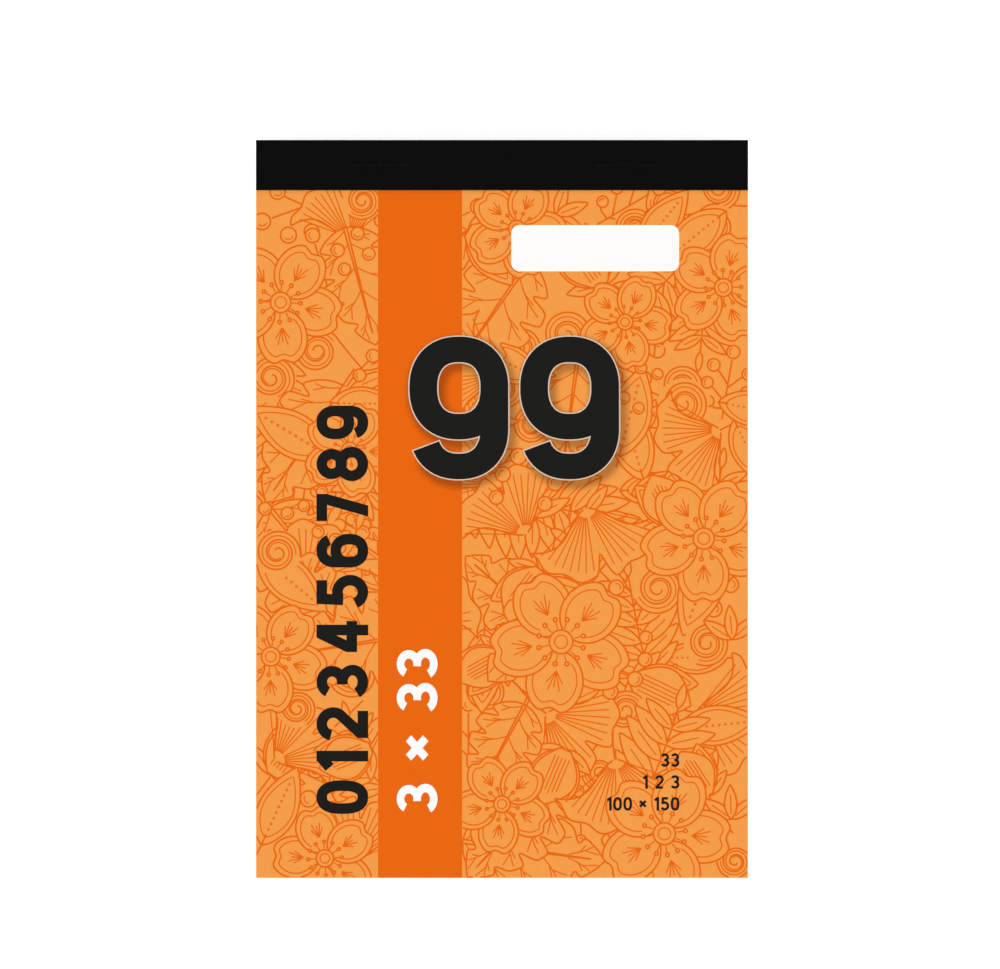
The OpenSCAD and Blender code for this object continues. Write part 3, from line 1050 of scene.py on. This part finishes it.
def add_buried(paper, slot):
    """One colour of the leaves that stay down, with a ruled face on the one that shows."""
    node = f"buried_{paper}s"
    low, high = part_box(node)
    leaf_low, leaf_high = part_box("first_original_leaf")
    thick = leaf_high.z - leaf_low.z
    pitch = len(PAPERS) * thick
    count = round((high.z - low.z - thick) / pitch) + 1
    boxes = []
    for k in range(count):
        bottom = low.z + k * pitch
        boxes.append(((low.x, low.y, bottom), (high.x, high.y, bottom + thick)))
    groups = [(node + "_sheets", boxes, False)]
    if paper == "original":
        groups = [(node + "_sheets", boxes[:-1], False), ("next_original_sheet", boxes[-1:], True)]
    for name, group, ruled in groups:
        piece = sheets(name, group)
        coat(piece, paper_finish(slot, ruled, sheet=False))
        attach(piece, "book")
        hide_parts(node)


GRAIN_CELL = 0.75  # size of one pebble of the tape's emboss, mm


def tape_finish():
    """Black binding tape with a fine leather-like emboss."""
    finish = Finish("grained_tape", roughness=0.5, specular=0.07)
    place = finish.object_mm()
    cells = {"Vector": place, "Scale": 1 / GRAIN_CELL, "Smoothness": 0.4}
    away = finish.node("TexVoronoi", cells, feature="SMOOTH_F1").outputs["Distance"]
    pebbles = finish.ramp(away, 0.1, 0.6, 1, 0)
    finish.colour(finish.mix(pebbles, linear(2, 2, 2), linear(5, 5, 5)))
    finish.rough(finish.ramp(pebbles, 0, 1, 0.62, 0.42))
    finish.bump(pebbles, depth=0.05 * MM, strength=0.6)
    return finish.material


# The board's fibres: how each kind is turned, and its tone
BOARD_FIBRES = [(20, linear(96, 92, 87)), (-35, linear(216, 212, 202)), (75, linear(118, 112, 104))]
FIBRE_STRETCH = (0.5, 2.2, 1)  # scale along a fibre, across it, and through the board


def board_finish():
    """Grey recycled board with light and dark fibres."""
    finish = Finish("recycled_board", roughness=0.9, specular=0.15)
    place = finish.object_mm()
    cloud = finish.noise(place, scale=0.35, detail=4, roughness=0.6)
    colour = finish.mix(finish.ramp(cloud, 0.25, 0.75), linear(160, 156, 148), linear(175, 171, 162))
    for turn, tone in BOARD_FIBRES:
        settings = {"Vector": place, "Rotation": (0, 0, math.radians(turn)), "Scale": FIBRE_STRETCH}
        turned = finish.node("Mapping", settings).outputs[0]
        fibres = finish.noise(turned, scale=1, detail=1, roughness=0.4)
        colour = finish.mix(finish.ramp(fibres, 0.62, 0.74, 0, 0.5), colour, tone)
    finish.colour(colour)
    finish.bump(finish.noise(place, scale=1.6, detail=2), depth=0.05 * MM, strength=0.6)
    return finish.material


def wire_finish():
    """Bright galvanised wire with faint spots."""
    finish = Finish("galvanised_wire", roughness=0.3)
    spots = finish.noise(finish.object_mm(), scale=3, detail=3)
    finish.colour(finish.mix(finish.ramp(spots, 0.3, 0.7), linear(176, 178, 182), linear(206, 208, 210)))
    finish.rough(finish.ramp(spots, 0.3, 0.7, 0.24, 0.4))
    finish.shader.inputs["Metallic"].default_value = 1
    return finish.material


SMEAR_STRETCH = (0.22, 0.3, 1)  # scale of the coat's smears across, along and through the sheet


def carbon_finish():
    """Dark blue waxy coat on tissue, with uneven sheen."""
    finish = Finish("carbon_coat", roughness=0.42, specular=0.22)
    place = finish.object_mm()
    stretched = finish.node("Mapping", {"Vector": place, "Scale": SMEAR_STRETCH}).outputs[0]
    smear = finish.noise(stretched, scale=1, detail=5, roughness=0.6)
    finish.colour(finish.mix(finish.ramp(smear, 0.35, 0.65), linear(17, 20, 56), linear(25, 30, 76)))
    finish.rough(finish.ramp(smear, 0.3, 0.7, 0.4, 0.5))
    finish.bump(finish.noise(place, scale=3, detail=4), depth=0.02 * MM, strength=0.5)
    return finish.material


def dress(node, material):
    """Gives a piece of the frame its finish."""
    piece = frame["nodes"][node]
    coat(piece, material)


# Stage

FLOOR_R, FLOOR_DROP = 0.6, 0.05 * MM  # just clear of the book, so the two don't share a plane
FLOOR_GLOW = 0.5


def add_stage():
    """A white floor, open from below so that the back of the book can be seen."""
    builder = bmesh.new()
    rim = bmesh.ops.create_circle(builder, cap_ends=True, segments=96, radius=FLOOR_R)["verts"]
    bmesh.ops.translate(builder, verts=rim, vec=(0, 0, -FLOOR_DROP))
    builder.normal_update()
    if next(iter(builder.faces)).normal.z < 0:
        bmesh.ops.reverse_faces(builder, faces=builder.faces)
    floor = piece_from("floor", builder)
    finish = Finish("white_floor", roughness=0.9, specular=0.1)
    finish.colour(linear(232, 232, 232))
    finish.shader.inputs["Emission Color"].default_value = (1, 1, 1, 1)
    finish.shader.inputs["Emission Strength"].default_value = FLOOR_GLOW
    under = finish.node("NewGeometry").outputs["Backfacing"]
    clear = finish.node("BsdfTransparent").outputs[0]
    one_sided = finish.node("MixShader", {0: under, 1: finish.shader.outputs[0], 2: clear}).outputs[0]
    finish.feed(finish.tree.nodes["Material Output"].inputs["Surface"], one_sided)
    coat(floor, finish.material)


# The sky is bright up to a low height and dim from a higher one
SKY = {"From Min": 0.25, "From Max": 0.8, "To Min": 1.0, "To Max": 0.12}
SIDE_LIGHT, SIDE_SIZE, SIDE_AWAY, SIDE_UP = 3.6, 0.9, 0.85, 0.75  # watts and metres


def add_lights():
    """A soft white room with a softbox on each side."""
    world = bpy.data.worlds.new("soft_room")
    world.use_nodes = True
    nodes, links = world.node_tree.nodes, world.node_tree.links
    up = nodes.new("ShaderNodeSeparateXYZ")
    links.new(nodes.new("ShaderNodeTexCoord").outputs["Generated"], up.inputs[0])
    fade = nodes.new("ShaderNodeMapRange")
    fade.interpolation_type = "SMOOTHSTEP"
    links.new(up.outputs["Z"], fade.inputs["Value"])
    for name, value in SKY.items():
        fade.inputs[name].default_value = value
    links.new(fade.outputs["Result"], nodes["Background"].inputs["Strength"])
    nodes["Background"].inputs["Color"].default_value = (1, 1, 1, 1)
    SCENE.world = world
    for k, (x, y) in enumerate(((-1, 0), (1, 0), (0, -1), (0, 1))):
        lamp = bpy.data.lights.new(f"softbox_{k}", "AREA")
        lamp.energy = SIDE_LIGHT
        lamp.size = SIDE_SIZE
        softbox = link(bpy.data.objects.new(f"softbox_{k}", lamp))
        softbox.location = (x * SIDE_AWAY, y * SIDE_AWAY, SIDE_UP)
        softbox.rotation_euler = (-softbox.location).to_track_quat("-Z", "Y").to_euler()


PHOTO_W = 1000  # width of the picture, pixels
BOOK_PX = 492  # width of the book in it
BOOK_MIDDLE_PX = (502, 509)  # middle of the book in it
PHOTO_MIDDLE_PX = (500, 484.5)
LENS, SENSOR = 120, 36  # mm


def add_camera():
    """Looks straight down at the cover, with the head of the book up."""
    metres_per_px = (COVER_HIGH.x - COVER_LOW.x) / BOOK_PX
    camera = bpy.data.cameras.new("camera")
    camera.lens, camera.sensor_width = LENS, SENSOR
    viewer = link(bpy.data.objects.new("camera", camera))
    away = PHOTO_W * metres_per_px * LENS / SENSOR
    x = (PHOTO_MIDDLE_PX[0] - BOOK_MIDDLE_PX[0]) * metres_per_px
    y = (BOOK_MIDDLE_PX[1] - PHOTO_MIDDLE_PX[1]) * metres_per_px
    viewer.location = (x, y, COVER_TOP + away)
    SCENE.camera = viewer
    SCENE.view_settings.view_transform = "Standard"


add_camera()
add_stage()
add_lights()
add_cover_card()
add_line_art()
add_cover_numbers()
for set_number, set_name in enumerate(SET_NAMES, 1):
    for paper, slot in PAPERS.items():
        add_leaf(f"{set_name}_{paper}", slot, set_number, paper != "triplicate")
for paper, slot in PAPERS.items():
    add_buried(paper, slot)
dress("binding_tape", tape_finish())
dress("back_board", board_finish())
for side in ("left", "right"):
    dress(side + "_staple", wire_finish())
for place in ("upper", "lower"):
    dress(place + "_carbon", carbon_finish())
